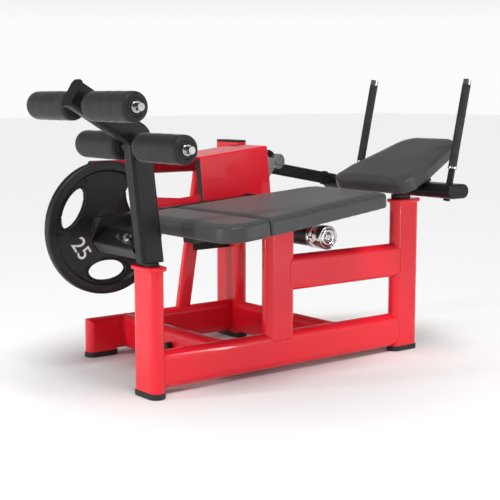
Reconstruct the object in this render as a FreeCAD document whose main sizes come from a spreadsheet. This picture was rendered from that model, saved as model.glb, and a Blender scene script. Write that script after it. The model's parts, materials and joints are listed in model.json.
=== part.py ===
"""Plate-loaded lying crunch bench: a welded tube frame, a leg lever with four foam rollers
and a weight plate, and a back lever with a head pad and two handles, geared together.

X runs from the rollers to the handles, Y from the open side to the plate side, Z up.
Lengths are in millimetres. The front post stands at X = Y = 0 of the stations below, and
the sheet's centre_x and centre_y move the whole machine so that its box is centred."""
import FreeCAD, Part
import math
import os
import re

import Sketcher

Vector = FreeCAD.Vector
Rotation = FreeCAD.Rotation

DIMENSIONS = {
    # the middle of the machine's box, measured from the front post
    "centre_x": 486.3, "centre_y": 183.2,
    # flat-oval frame tube
    "tube_wide": 120, "tube_deep": 50, "tube_wall": 3, "corner_wide": 150,
    "foot_tall": 18, "foot_lip": 3, "cap_lip": 10, "cap_thick": 13,
    # stations of the frame
    "mid_x": 506, "rear_x": 1091, "corner_x": 761, "side_y": 588, "stub_x": 178,
    "front_cross_x": 280, "rail_z": 78, "upper_z": 332,
    "front_post_top": 393, "mid_post_top": 520, "rear_post_top": 538, "corner_post_top": 742,
    "side_upper_z": 664, "side_upper_start": 150, "side_upper_wide": 54, "side_upper_deep": 34,
    "brace_x": 533, "brace_lean": 9.4, "brace_wide": 60, "brace_deep": 30,
    "tie_z": 372, "tie_tall": 56, "tie_deep": 34,
    # bumpers
    "leg_bumper_tall": 10, "back_bumper_tall": 16,
    # seat
    "seat_front_x": 118, "seat_seam_x": 272, "seat_rear_x": 824, "seat_z": 471, "seat_slope": 5.14,
    "seat_thick": 55, "seat_front_half": 255, "seat_rear_half": 184, "seat_gap": 2,
    "board_thick": 12, "board_inset": 20, "seat_beam_wide": 60, "seat_beam_tall": 22,
    # pivots and gears
    "back_pivot_x": 812, "back_pivot_z": 676, "leg_pivot_z": 545,
    "gear_module": 6, "leg_teeth": 35, "back_teeth": 44, "gear_y": 366, "gear_thick": 15,
    "shaft_radius": 16, "bearing_radius": 26, "bearing_long": 12, "running_gap": 0.05,
    "pivot_plate_half": 40, "pivot_plate_thick": 8, "near_plate_y": 432, "far_plate_y": 495,
    "hub_radius": 28, "back_hub_radius": 20, "leg_travel": 45,
    # cover
    "cover_x": 430, "cover_z": 705.5, "cover_long": 301, "cover_tall": 190, "cover_y": 330,
    "cover_wide": 183, "cover_tilt": 6, "cover_wall": 2.5, "cover_fold": 6,
    # leg lever
    "arm_wide": 80, "arm_deep": 47, "arm_wall": 3, "arm_corner": 13, "arm_lean": 6.5, "arm_rise": 30.7,
    "elbow_x": -38, "elbow_z": 796, "arm_foot_z": 416, "elbow_clip": 32,
    "arm_upper_long": 246, "arm_cap_lip": 4,
    "beam_wide": 40, "beam_tall": 46, "beam_y": 285, "beam_start_x": -6, "beam_start_z": 507,
    "cross_wide": 78, "cross_deep": 45, "cross_x": 0, "cross_z": 461, "cross_tilt": 38,
    "upper_roller_x": -214, "upper_roller_z": 886, "lower_roller_x": -50, "lower_roller_z": 766,
    "roller_radius": 42.5, "roller_in": 50, "roller_out": 278, "core_radius": 16, "axle_radius": 10,
    "plate_x": 116, "plate_z": 474, "plate_y": 425, "plate_radius": 225, "plate_thick": 34,
    "plate_bore": 25.2, "hole_half_long": 76, "hole_half_wide": 37, "hole_reach": 144,
    "peg_radius": 25, "peg_end": 505, "peg_groove": 482,
    # back lever
    "bar_x": 1070, "bar_z": 593, "bar_wide": 100, "bar_tall": 49, "bar_near": 272, "bar_far": 352,
    "back_arm_tall": 44, "back_arm_deep": 26, "back_arm_x": 790, "back_arm_y": 409.4, "back_arm_z": 654.5,
    "back_arm_end_y": 324, "back_arm_end_x": 1050, "back_arm_end_z": 600,
    "handle_y": 226, "handle_x": 1067, "handle_z": 558, "handle_lean": 12.6, "handle_radius": 11.5,
    "grip_radius": 14.5, "grip_start": 118, "grip_end": 404, "handle_long": 422,
    "pad_low_x": 917, "pad_low_z": 582, "pad_slope": 22.8, "pad_long": 360, "pad_thick": 49,
    "pad_half": 184, "pad_head_half": 120,
    "weight_x": 773, "weight_z": 427, "weight_radius": 42, "weight_near": 48, "weight_long": 74,
    "weight_bar_radius": 38,
}

document = FreeCAD.newDocument("crunch_bench")
sheet = document.addObject("Spreadsheet::Sheet", "Dimensions")
for row, (alias, value) in enumerate(DIMENSIONS.items(), start=1):
    sheet.set("A%d" % row, alias)
    sheet.set("B%d" % row, str(value))
    sheet.setAlias("B%d" % row, alias)
document.recompute()

SHIFT = Vector(-DIMENSIONS["centre_x"], -DIMENSIONS["centre_y"], 0)
UPRIGHT = Rotation()
UPRIGHT_ACROSS = Rotation(Vector(0, 0, 1), 90)
# a tube whose run is the local Z and whose wide side is the local X
ALONG_X = Rotation(Vector(0, 0, 1), Vector(0, -1, 0), Vector(1, 0, 0), "ZXY")
ALONG_Y = Rotation(Vector(0, 0, 1), Vector(1, 0, 0), Vector(0, 1, 0), "ZXY")
TO_Y = Rotation(Vector(1, 0, 0), -90)
TO_X = Rotation(Vector(0, 1, 0), 90)

PARTS = []


def size(alias):
    """The number that the sheet holds under this alias."""
    return float(sheet.get(alias))


def formula(text):
    """An expression in which each alias is read from the sheet."""
    def qualify(match):
        word = match.group(0)
        return "Dimensions." + word if word in DIMENSIONS else word
    return re.sub(r"[A-Za-z_]+", qualify, str(text))


def number(text):
    """What an expression comes to with the sheet's numbers."""
    return float(sheet.evalExpression(formula(text)))


def bind(thing, **formulas):
    for name, text in formulas.items():
        thing.setExpression(name, formula(text))


def place(thing, x, y, z, rotation=UPRIGHT):
    """Put a piece at a station of the machine, bound to the sheet."""
    thing.Placement = FreeCAD.Placement(Vector(), rotation)
    thing.setExpression("Placement.Base.x", formula("(%s) - centre_x" % x))
    thing.setExpression("Placement.Base.y", formula("(%s) - centre_y" % y))
    thing.setExpression("Placement.Base.z", formula(z))
    return thing


def keep(thing, name):
    """Name a finished piece, so that it is checked and written at the end."""
    thing.Label = name
    PARTS.append(thing)
    return thing


def origin_plane(body, role):
    return next(item for item in body.Origin.OriginFeatures if item.Role == role)


def new_sketch(body, name, role="XY_Plane"):
    sketch = body.newObject("Sketcher::SketchObject", name)
    sketch.AttachmentSupport = [(origin_plane(body, role), "")]
    sketch.MapMode = "FlatFace"
    return sketch


def draw_oval(sketch, wide, deep):
    """A flat oval about the sketch's origin: two half circles joined by two straight sides."""
    upward = Vector(0, 0, 1)
    radius = number("(%s) / 2" % deep)
    reach = number("((%s) - (%s)) / 2" % (wide, deep))
    right = sketch.addGeometry(
        Part.ArcOfCircle(Part.Circle(Vector(reach, 0), upward, radius), -math.pi / 2, math.pi / 2))
    left = sketch.addGeometry(
        Part.ArcOfCircle(Part.Circle(Vector(-reach, 0), upward, radius), math.pi / 2, 1.5 * math.pi))
    top = sketch.addGeometry(Part.LineSegment(Vector(reach, radius), Vector(-reach, radius)))
    base = sketch.addGeometry(Part.LineSegment(Vector(-reach, -radius), Vector(reach, -radius)))
    for first, first_end, second, second_end in (
            (right, 2, top, 1), (top, 2, left, 1), (left, 2, base, 1), (base, 2, right, 1)):
        sketch.addConstraint(Sketcher.Constraint("Tangent", first, first_end, second, second_end))
    sketch.addConstraint(Sketcher.Constraint("Equal", left, right))
    sketch.addConstraint(Sketcher.Constraint("Horizontal", top))
    sketch.addConstraint(Sketcher.Constraint("Symmetric", left, 3, right, 3, -1, 1))
    half = sketch.addConstraint(Sketcher.Constraint("Radius", right, radius))
    sketch.setExpression("Constraints[%d]" % half, formula("(%s) / 2" % deep))
    run = sketch.addConstraint(Sketcher.Constraint("DistanceX", left, 3, right, 3, 2 * reach))
    sketch.setExpression("Constraints[%d]" % run, formula("(%s) - (%s)" % (wide, deep)))


def oval_bar(name, wide, deep, long, wall=None):
    """A flat-oval bar along its own Z, or a tube when it has a wall."""
    body = document.addObject("PartDesign::Body", name)
    sketch = new_sketch(body, name + "_section")
    draw_oval(sketch, wide, deep)
    if wall:
        draw_oval(sketch, "%s - 2 * %s" % (wide, wall), "%s - 2 * %s" % (deep, wall))
    pad = body.newObject("PartDesign::Pad", name + "_run")
    pad.Profile = sketch
    pad.setExpression("Length", formula(long))
    return body


def frame_tube(name, long, x, y, z, rotation, wide="tube_wide"):
    """A frame tube and the solid outline that its neighbours are coped to."""
    tube = oval_bar(name + "_tube", wide, "tube_deep", long, "tube_wall")
    outline = oval_bar(name + "_outline", wide, "tube_deep", long)
    place(tube, x, y, z, rotation)
    place(outline, x, y, z, rotation)
    return tube, outline


def cut_from(base, tool, name):
    result = document.addObject("Part::Cut", name)
    result.Base = base
    result.Tool = tool
    return result


def coped(tube, outlines, name):
    """The tube with its ends cut to the neighbours' outlines."""
    shape = tube
    for number, outline in enumerate(outlines, start=1):
        shape = cut_from(shape, outline, "%s_cope_%d" % (name, number))
    return keep(shape, name)


def oval_cap(name, wide, deep, thick, x, y, z, rotation, round_over):
    """A flat-oval cap with both rims rounded over."""
    body = oval_bar(name + "_cap", wide, deep, thick)
    document.recompute()
    run = body.Tip
    rims = ["Edge%d" % index for index, edge in enumerate(run.Shape.Edges, start=1)
            if edge.BoundBox.ZLength < 0.001]
    fillet = body.newObject("PartDesign::Fillet", name + "_rim")
    fillet.Base = (run, rims)
    fillet.Radius = round_over
    return place(body, x, y, z, rotation)


def block(name, long, wide, tall, x, y, z, rotation=UPRIGHT):
    box = document.addObject("Part::Box", name)
    bind(box, Length=long, Width=wide, Height=tall)
    return place(box, x, y, z, rotation)


def cylinder(name, radius, long, x, y, z, rotation=TO_Y):
    rod = document.addObject("Part::Cylinder", name)
    bind(rod, Radius=radius, Height=long)
    return place(rod, x, y, z, rotation)


def group(things, name):
    """Identical or matching small pieces that share one name, each still its own solid."""
    compound = document.addObject("Part::Compound", name)
    compound.Links = things
    return keep(compound, name)


def shaped(name, shape):
    """A piece whose outline is worked out below from the sheet's numbers."""
    feature = document.addObject("Part::Feature", name)
    shape.translate(SHIFT)
    feature.Shape = shape
    return keep(feature, name)


def turned(direction, degrees, axis=Vector(0, 1, 0)):
    return Rotation(axis, degrees).multVec(direction)


# ---- pivots, worked out from the gears' centre distance ----
gear_reach = size("gear_module") * (size("leg_teeth") + size("back_teeth")) / 2
pivot_rise = size("back_pivot_z") - size("leg_pivot_z")
MESH_ANGLE = math.degrees(math.asin(pivot_rise / gear_reach))
BACK_PIVOT = (size("back_pivot_x"), size("back_pivot_z"))
LEG_PIVOT = (BACK_PIVOT[0] - gear_reach * math.cos(math.radians(MESH_ANGLE)), size("leg_pivot_z"))
UPPER_AXLE = (size("upper_roller_x"), size("upper_roller_z"))
LOWER_AXLE = (size("lower_roller_x"), size("lower_roller_z"))


def build_spine():
    """Posts and rails along the middle of the machine."""
    front, _ = frame_tube(
        "front_post", "front_post_top - foot_tall", "0", "0", "foot_tall", UPRIGHT_ACROSS)
    rail, rail_outline = frame_tube(
        "main_rail", "rear_x - tube_deep / 2", "tube_deep / 2", "0", "rail_z", ALONG_X)
    mid, mid_outline = frame_tube("mid_post", "mid_post_top - rail_z", "mid_x", "0", "rail_z", UPRIGHT)
    # the seat beam's underside, which the mid post's sloping top meets
    seat_side = block("seat_side", 400, 200, 200, "mid_x - 200", "-100",
                      "seat_z + (mid_x - 200) * tan(seat_slope) - seat_beam_tall / cos(seat_slope)",
                      Rotation(Vector(0, 1, 0), -size("seat_slope")))
    upper, _ = frame_tube("upper_rail", "rear_x - mid_x", "mid_x", "0", "upper_z", ALONG_X)
    rear, rear_outline = frame_tube(
        "rear_post", "rear_post_top - foot_tall", "rear_x", "0", "foot_tall", UPRIGHT)
    keep(front, "front_post")
    coped(rail, [rear_outline], "main_rail")
    coped(mid, [rail_outline, seat_side], "mid_post")
    coped(upper, [mid_outline, rear_outline], "upper_rail")
    keep(rear, "rear_post")
    return rail_outline


def build_side_frame(rail_outline):
    """The plate side: lower rail with a mitred front foot, corner post, brace and upper rail."""
    side, side_outline = frame_tube(
        "side_rail", "corner_x - tube_deep / 2 - stub_x + tube_wide / 2",
        "stub_x - tube_wide / 2", "side_y", "rail_z", ALONG_X)
    stub, _ = frame_tube(
        "side_stub", "rail_z + tube_wide / 2 - foot_tall", "stub_x", "side_y", "foot_tall", UPRIGHT)
    # the mitre runs from the stub's outer top corner to its inner lower corner
    above = block("mitre_above", 800, 200, 400, "stub_x - 400 * cos(45)", "side_y - 100",
                  "rail_z + 400 * sin(45)", Rotation(Vector(0, 1, 0), 45))
    below = block("mitre_below", 800, 200, 400, "stub_x + 400 * cos(45)", "side_y - 100",
                  "rail_z - 400 * sin(45)", Rotation(Vector(0, 1, 0), 225))
    coped(side, [below], "side_rail")
    coped(stub, [above], "side_rail_stub")
    corner, corner_outline = frame_tube(
        "corner_post", "corner_post_top - foot_tall", "corner_x", "side_y", "foot_tall",
        UPRIGHT_ACROSS, "corner_wide")
    keep(corner, "corner_post")

    front_cross, _ = frame_tube(
        "front_cross_tube", "side_y - tube_deep / 4", "front_cross_x", "tube_deep / 4", "rail_z", ALONG_Y)
    coped(front_cross, [rail_outline, side_outline], "front_cross_tube")
    rear_cross, _ = frame_tube(
        "rear_cross_tube", "side_y - tube_deep / 4", "corner_x", "tube_deep / 4", "rail_z", ALONG_Y)
    coped(rear_cross, [rail_outline, corner_outline], "rear_cross_tube")

    upper = oval_bar("side_upper", "side_upper_wide", "side_upper_deep",
                     "corner_x - tube_deep / 2 - side_upper_start", "tube_wall")
    upper_outline = oval_bar("side_upper_outline", "side_upper_wide", "side_upper_deep",
                             "corner_x - tube_deep / 2 - side_upper_start")
    for piece in (upper, upper_outline):
        place(piece, "side_upper_start", "side_y", "side_upper_z", ALONG_X)
    keep(upper, "side_upper_rail")
    lean = Rotation(Vector(0, 1, 0), size("brace_lean"))
    brace = oval_bar("brace", "brace_wide", "brace_deep", "side_upper_z - rail_z", "tube_wall")
    place(brace, "brace_x - (tube_wide / 2) * tan(brace_lean)", "side_y", "rail_z", lean)
    coped(brace, [side_outline, upper_outline], "diagonal_brace")

    brace_outline = oval_bar("brace_outline", "brace_wide", "brace_deep", "side_upper_z - rail_z")
    place(brace_outline, "brace_x - (tube_wide / 2) * tan(brace_lean)", "side_y", "rail_z", lean)
    # a tie from the middle of the brace to the corner post, coped to the brace
    tie_start = "brace_x + (tie_z - rail_z - tube_wide / 2) * tan(brace_lean)"
    tie = block("tie", "corner_x - tube_deep / 2 - (%s)" % tie_start, "tie_deep", "tie_tall",
                tie_start, "side_y - tie_deep / 2", "tie_z - tie_tall / 2")
    coped(tie, [brace_outline], "lower_tie")


def build_feet_and_caps():
    """Rubber feet, flanged post caps and the two rubber bumpers that the levers rest on."""
    lipped = "tube_wide + 2 * foot_lip", "tube_deep + 2 * foot_lip", "foot_tall"
    feet = [oval_cap(name, *lipped, x, y, "0", rotation, 4) for name, x, y, rotation in (
        ("front_post_foot", "0", "0", UPRIGHT_ACROSS), ("rear_post_foot", "rear_x", "0", UPRIGHT),
        ("side_rail_foot", "stub_x", "side_y", UPRIGHT))]
    feet.append(oval_cap("corner_post_foot", "corner_wide + 2 * foot_lip", "tube_deep + 2 * foot_lip",
                         "foot_tall", "corner_x", "side_y", "0", UPRIGHT_ACROSS, 4))
    group(feet, "rubber_feet")
    flanged = "tube_wide + 2 * cap_lip", "tube_deep + 2 * cap_lip", "cap_thick"
    group([oval_cap("front_post_cap", *flanged, "0", "0", "front_post_top", UPRIGHT_ACROSS, 5),
           oval_cap("rear_post_cap", *flanged, "rear_x", "0", "rear_post_top", UPRIGHT, 5)], "post_caps")
    group([oval_cap("corner_post_cap", "corner_wide", "tube_deep", "8", "corner_x", "side_y",
                    "corner_post_top", UPRIGHT_ACROSS, 3),
           oval_cap("side_upper_cap", "side_upper_wide", "side_upper_deep", "6",
                    "side_upper_start - 6", "side_y", "side_upper_z", ALONG_X, 2)], "tube_end_caps")
    cross_stop = cylinder("cross_stop", 14, 22, "front_cross_x - tube_deep / 2 - 22", "262", "rail_z", TO_X)
    group([oval_cap("leg_bumper", "80", "44", "leg_bumper_tall", "0", "0",
                    "front_post_top + cap_thick", UPRIGHT_ACROSS, 3),
           oval_cap("back_bumper", "80", "44", "back_bumper_tall", "rear_x - 15", "0",
                    "rear_post_top + cap_thick", UPRIGHT, 3), cross_stop], "rubber_stops")


def corner_arc(before, corner, after, radius):
    """The two ends and the middle of the arc that rounds a corner of an outline."""
    first = (before - corner).normalize()
    second = (after - corner).normalize()
    half = first.getAngle(second) / 2
    inward = (first + second).normalize()
    centre = corner + inward * (radius / math.sin(half))
    run = radius / math.tan(half)
    return corner + first * run, centre - inward * radius, corner + second * run


def rounded_face(corners):
    """A flat face whose outline passes each (x, y, radius) corner with an arc, or none for 0."""
    points = [Vector(x, y, 0) for x, y, _ in corners]
    stops = []
    edges = []
    for index, (_, _, radius) in enumerate(corners):
        before, corner, after = points[index - 1], points[index], points[(index + 1) % len(points)]
        if radius:
            start, middle, end = corner_arc(before, corner, after, radius)
            edges.append(Part.Arc(start, middle, end).toShape())
            stops.append((start, end))
        else:
            stops.append((corner, corner))
    for index, (_, end) in enumerate(stops):
        start = stops[(index + 1) % len(stops)][0]
        if (start - end).Length > 0.001:
            edges.append(Part.LineSegment(end, start).toShape())
    return Part.Face(Part.Wire(Part.__sortEdges__(edges)))


def slab(corners, tall, base=0):
    """A plate of the outline's shape, standing on Z = base."""
    shape = rounded_face(corners).extrude(Vector(0, 0, tall))
    shape.translate(Vector(0, 0, base))
    return shape


def mirrored_outline(half):
    """An outline that is the same on both sides of X, from the corners of its +Y half."""
    return half + [(x, -y, radius) for x, y, radius in reversed(half)]


def tilted(shape, x, y, z, rise):
    """Raise the +X side of a shape by an angle and move it to its station."""
    shape.rotate(Vector(), Vector(0, 1, 0), -rise)
    shape.translate(Vector(x, y, z))
    return shape


def build_seat():
    """Two pads on boards, on a sloping beam that the mid post carries."""
    slope, seat_z = size("seat_slope"), size("seat_z")
    run = math.cos(math.radians(slope))
    front, seam, rear = (size(name) / run for name in ("seat_front_x", "seat_seam_x", "seat_rear_x"))
    front_half, rear_half = size("seat_front_half"), size("seat_rear_half")
    waist = front + 130
    seam_half = front_half - (front_half - rear_half) * (seam - waist) / (rear - waist)
    gap = size("seat_gap") / 2
    outlines = {
        "front": [(front, front_half, 70), (waist, front_half, 0), (seam - gap, seam_half, 0)],
        "rear": [(seam + gap, seam_half, 0), (rear, rear_half, 22)],
    }
    inset = size("board_inset")
    boards = {
        "front": [(front + inset, front_half - inset, 50), (seam - gap - inset, seam_half - inset, 5)],
        "rear": [(seam + gap + inset, seam_half - inset, 5), (rear - inset, rear_half - inset, 15)],
    }
    fitted = []
    for name in ("front", "rear"):
        board = slab(mirrored_outline(boards[name]), size("board_thick"))
        pad = slab(mirrored_outline(outlines[name]), size("seat_thick")).cut(board)
        shaped("seat_pad_" + name, tilted(pad, 0, 0, seat_z, slope))
        fitted.append(tilted(board, 0, 0, seat_z, slope))
    shaped("seat_boards", Part.makeCompound(fitted))
    half_beam, drop = size("seat_beam_wide") / 2, size("seat_beam_tall")
    beam = Part.makeBox(rear - front - 90, 2 * half_beam, drop, Vector(front + 30, -half_beam, -drop))
    for start in (front + 60, seam + 60, rear - 150):
        beam = beam.fuse(Part.makeBox(50, 300, 6, Vector(start, -150, -6)))
    shaped("seat_beam", tilted(beam.removeSplitter(), 0, 0, seat_z, slope))
    bolts = [Part.makeCylinder(7, 5, Vector(start + 25, side * 130, -11))
             for start in (front + 60, seam + 60, rear - 150) for side in (1, -1)]
    shaped("seat_bolts", tilted(Part.makeCompound(bolts), 0, 0, seat_z, slope))


def point_at(origin, angle, reach, y):
    """A point in the XZ plane through an origin, at an angle from +X towards +Z."""
    turn = math.radians(angle)
    return Vector(origin[0] + reach * math.cos(turn), y, origin[1] + reach * math.sin(turn))


def rod_y(centre, radius, start, end):
    """A round bar along Y about a point of the XZ plane."""
    return Part.makeCylinder(radius, end - start, Vector(centre[0], start, centre[1]), Vector(0, 1, 0))


def link_plate(first, second, radius, start, thick):
    """A plate with round ends about two points of the XZ plane, in the Y range given."""
    along = Vector(second[0] - first[0], 0, second[1] - first[1])
    side = turned(Vector(along).normalize(), 90) * radius
    a, b = Vector(first[0], start, first[1]), Vector(second[0], start, second[1])
    strip = Part.Face(Part.makePolygon([a + side, b + side, b - side, a - side, a + side]))
    shape = strip.extrude(Vector(0, thick, 0))
    for centre in (first, second):
        shape = shape.fuse(rod_y(centre, radius, start, start + thick))
    return shape.removeSplitter()


def build_pivot_housing():
    """Two bearing plates on the corner post, the bearings and the folded cover round them."""
    half, thick = size("pivot_plate_half"), size("pivot_plate_thick")
    near, far = size("near_plate_y"), size("far_plate_y")
    bearing = size("bearing_radius")
    spacer_reach, spacer_radius = half - 8, 5.5
    spacers = [(LEG_PIVOT, 190), (LEG_PIVOT, 250), (BACK_PIVOT, 75), (BACK_PIVOT, 310)]
    plates, sleeves = [], []
    for start in (near, far):
        plate = link_plate(LEG_PIVOT, BACK_PIVOT, half, start, thick)
        for centre in (LEG_PIVOT, BACK_PIVOT):
            plate = plate.cut(rod_y(centre, bearing, start - 1, start + thick + 1))
        plates.append(plate)
        for centre in (LEG_PIVOT, BACK_PIVOT):
            sleeve = rod_y(centre, bearing, start - 2, start - 2 + size("bearing_long"))
            bore = size("shaft_radius") + size("running_gap")
            sleeves.append(sleeve.cut(rod_y(centre, bore, start - 3, start + 20)))
    shaped("pivot_plates", Part.makeCompound(plates))
    shaped("shaft_bearings", Part.makeCompound(sleeves))
    posts = []
    for centre, angle in spacers:
        spot = point_at(centre, angle, spacer_reach, 0)
        posts.append(rod_y((spot.x, spot.z), spacer_radius, near + thick, far))
    # the block between the far plate and the corner post
    post_side = size("side_y") - size("corner_wide") / 2
    middle = point_at(LEG_PIVOT, MESH_ANGLE, (size("corner_x") - LEG_PIVOT[0])
                      / math.cos(math.radians(MESH_ANGLE)), 0)
    block_shape = Part.makeBox(44, post_side + 30 - far - thick, 70,
                               Vector(middle.x - 22, far + thick, middle.z - 35))
    outline = document.getObject("corner_post_outline").Shape.copy()
    outline.translate(SHIFT * -1)
    shaped("pivot_spacers", Part.makeCompound(posts + [block_shape.cut(outline)]))

    long, wide, tall = size("cover_long"), size("cover_wide"), size("cover_tall")
    wall, fold = size("cover_wall"), size("cover_fold")
    shell = Part.makeBox(long, wide, tall, Vector(0, 0, -tall))
    folded = [edge for edge in shell.Edges if on_fold(edge, long)]
    shell = shell.makeFillet(fold, folded)
    room = Part.makeBox(long - wall + 50, wide - 2 * wall, tall - wall + 50, Vector(-50, wall, -tall - 50))
    inner = [edge for edge in room.Edges if on_fold(edge, long - wall)]
    shell = shell.cut(room.makeFillet(fold - wall, inner))
    # the window that the back lever works through, and the notch over the leg shaft
    window = Part.makeBox(40, 148, tall, Vector(long - 20, 30, -tall - 12))
    shell = shell.cut(window)
    tilted(shell, size("cover_x"), size("cover_y"), size("cover_z"), size("cover_tilt"))
    notch = rod_y(LEG_PIVOT, size("shaft_radius") + 4, size("cover_y") - 5, size("cover_y") + 20)
    below = Part.makeBox(2 * size("shaft_radius") + 8, 25, 200,
                         Vector(LEG_PIVOT[0] - size("shaft_radius") - 4, size("cover_y") - 5,
                                LEG_PIVOT[1] - 200))
    far_wall = Part.makeBox(600, 60, 90, Vector(400, post_side - 50, 480))
    block_room = Part.makeBox(60, 60, 90, Vector(middle.x - 30, far, middle.z - 45))
    # the far wall starts behind the near one's middle
    far_front = Part.makeBox(160, 60, 300, Vector(size("cover_x") - 20, far, 400))
    for opening in (notch, below, far_wall, block_room, far_front):
        shell = shell.cut(opening)
    shaped("mechanism_cover", shell)
    # a black stay folded behind the cover's open front edge
    stay = Part.makeBox(5, 34, 150, Vector(0, 0, -150))
    stay = tilted(stay, size("cover_x") + 5, size("cover_y") + wall, size("cover_z") - 14, size("cover_tilt"))
    shaped("cover_front_stay", stay)


def on_fold(edge, long):
    """True for the box edges that are folds: the long top ones and those of the +X end."""
    box = edge.BoundBox
    top = abs(box.ZMin) < 0.1 and abs(box.ZMax) < 0.1
    end = abs(box.XMin - long) < 0.1 and box.ZLength > 1
    return top and (box.XLength > 1 or box.XMin > 1) or end


def build_lever_guard():
    """A folded guard in front of the cover, over the leg lever's beam."""
    cover_x, cover_y = size("cover_x"), size("cover_y")
    start, tall = cover_x - 203, 44
    web = slab([(start, 0, 10), (cover_x + 4, 0, 0), (cover_x + 4, tall + 8, 0),
                (cover_x - 80, tall, 40), (start, tall + 10, 10)], 3)
    web.rotate(Vector(), Vector(1, 0, 0), 90)
    web.translate(Vector(0, cover_y + 8, 524))
    flange = Part.makeBox(150, 40, 3, Vector(start + 10, cover_y + 8, 524))
    shaped("lever_guard", web.fuse(flange).removeSplitter())


def involute(base_radius, roll):
    """A point of the involute of a circle, after the string has unrolled by an angle."""
    return (base_radius * (math.cos(roll) + roll * math.sin(roll)),
            base_radius * (math.sin(roll) - roll * math.cos(roll)))


def tooth(teeth, module, backlash):
    """One involute tooth about the local +X axis, rooted below the root circle."""
    pitch = module * teeth / 2
    base = pitch * math.cos(math.radians(20))
    tip, root = pitch + 0.9 * module, pitch - 1.25 * module
    last_roll = math.sqrt((tip / base) ** 2 - 1)
    pitch_roll = math.sqrt((pitch / base) ** 2 - 1)
    lean = pitch_roll - math.atan(pitch_roll)
    half = math.pi / (2 * teeth) - backlash / (2 * pitch)
    flank = []
    for step in range(6):
        x, y = involute(base, last_roll * step / 5)
        turn = -(half + lean)
        flank.append(Vector(x * math.cos(turn) - y * math.sin(turn),
                            x * math.sin(turn) + y * math.cos(turn), 0))
    other = [Vector(point.x, -point.y, 0) for point in flank]
    lower, upper = Part.BSplineCurve(), Part.BSplineCurve()
    lower.interpolate(flank)
    upper.interpolate(other)
    foot = Vector(root - 2, flank[0].y, 0)
    foot_other = Vector(root - 2, -flank[0].y, 0)
    edges = [Part.LineSegment(foot, flank[0]).toShape(), lower.toShape(),
             Part.Arc(flank[-1], Vector(tip, 0, 0), other[-1]).toShape(), upper.toShape(),
             Part.LineSegment(other[0], foot_other).toShape(),
             Part.LineSegment(foot_other, foot).toShape()]
    return Part.Face(Part.Wire(Part.__sortEdges__(edges))), root


def sector_gear(teeth, first_angle, last_angle, phase, bore):
    """A gear sector in the XY plane, with the teeth whose angles lie in the range given.

    One tooth lies at the phase angle; angles are in degrees from local +X."""
    module, thick = size("gear_module"), size("gear_thick")
    face, root = tooth(int(teeth), module, 0.5)
    solid_tooth = face.extrude(Vector(0, 0, thick))
    web = Part.makeCylinder(root, thick, Vector(), Vector(0, 0, 1), last_angle - first_angle)
    web.rotate(Vector(), Vector(0, 0, 1), first_angle)
    shape = web.fuse(Part.makeCylinder(size("hub_radius"), thick))
    step = 360.0 / teeth
    first_tooth = math.ceil((first_angle - phase) / step + 0.5)
    last_tooth = math.floor((last_angle - phase) / step - 0.5)
    for index in range(first_tooth, last_tooth + 1):
        copy = solid_tooth.copy()
        copy.rotate(Vector(), Vector(0, 0, 1), phase + index * step)
        shape = shape.fuse(copy)
    return shape.cut(Part.makeCylinder(bore, thick)).removeSplitter()


def stand_gear(shape, pivot):
    """Turn a gear from the XY plane into the XZ plane at its pivot."""
    shape.rotate(Vector(), Vector(1, 0, 0), 90)
    shape.translate(Vector(pivot[0], size("gear_y") + size("gear_thick"), pivot[1]))
    return shape


def box_tube(wide, deep, wall, long, corner=6):
    """A rectangular tube along Z, its wide side along X, or a solid bar when it has no wall."""
    def outline(inset, radius):
        x, y = wide / 2 - inset, deep / 2 - inset
        return slab([(-x, -y, radius), (x, -y, radius), (x, y, radius), (-x, y, radius)], long)
    if not wall:
        return outline(0, corner)
    return outline(0, corner).cut(outline(wall, max(corner - wall, 1)))


def facing(point, direction):
    """The place of a shape made along Z from its own origin."""
    return FreeCAD.Placement(point, Rotation(Vector(0, 0, 1), direction))


def beyond(point, direction):
    """A block that fills everything past a plane, to cut with."""
    reach = 3000
    filler = Part.makeBox(reach, reach, reach, Vector(-reach / 2, -reach / 2, 0))
    filler.Placement = facing(point, direction)
    return filler


def build_leg_arm():
    """The bent rectangular arm: two mitred runs, a plate on the clipped elbow and an end cap."""
    wide, deep, wall = size("arm_wide"), size("arm_deep"), size("arm_wall")
    long, cap = size("arm_upper_long"), 5
    elbow = Vector(size("elbow_x"), 0, size("elbow_z"))
    down = turned(Vector(0, 0, -1), -size("arm_lean"))
    up = turned(Vector(-1, 0, 0), size("arm_rise"))
    outward = (down + up).normalize() * -1
    split = (down - up).normalize()
    clip = elbow + outward * size("elbow_clip")
    floor = Part.makeBox(600, 400, 400, Vector(-300, -200, size("arm_foot_z") - 400))

    def run(direction, thickness, lip=0):
        tube = box_tube(wide + 2 * lip, deep + 2 * lip, thickness, 700, size("arm_corner") + lip)
        tube.translate(Vector(0, 0, -150))
        tube.Placement = facing(elbow, direction).multiply(tube.Placement)
        return tube

    end = elbow + up * long
    lower = run(down, wall).cut(beyond(elbow, split * -1)).cut(floor)
    upper = run(up, wall).cut(beyond(elbow, split)).cut(beyond(end, up))
    solid = run(down, None).cut(beyond(elbow, split * -1)).cut(floor)
    solid = solid.fuse(run(up, None).cut(beyond(elbow, split)))
    trims = beyond(clip, outward)
    axle = size("axle_radius")
    shaped("leg_arm_lower", lower.cut(trims).cut(rod_y(LOWER_AXLE, axle, -100, 100)))
    shaped("leg_arm_upper", upper.cut(trims).cut(rod_y(UPPER_AXLE, axle, -100, 100)))
    elbow_plate = solid.cut(beyond(clip + outward * wall, outward)).cut(beyond(clip, outward * -1))
    tip = run(up, None, size("arm_cap_lip")).cut(beyond(end + up * cap, up)).cut(beyond(end, up * -1))
    shaped("leg_arm_caps", Part.makeCompound([elbow_plate, tip]))


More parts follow.
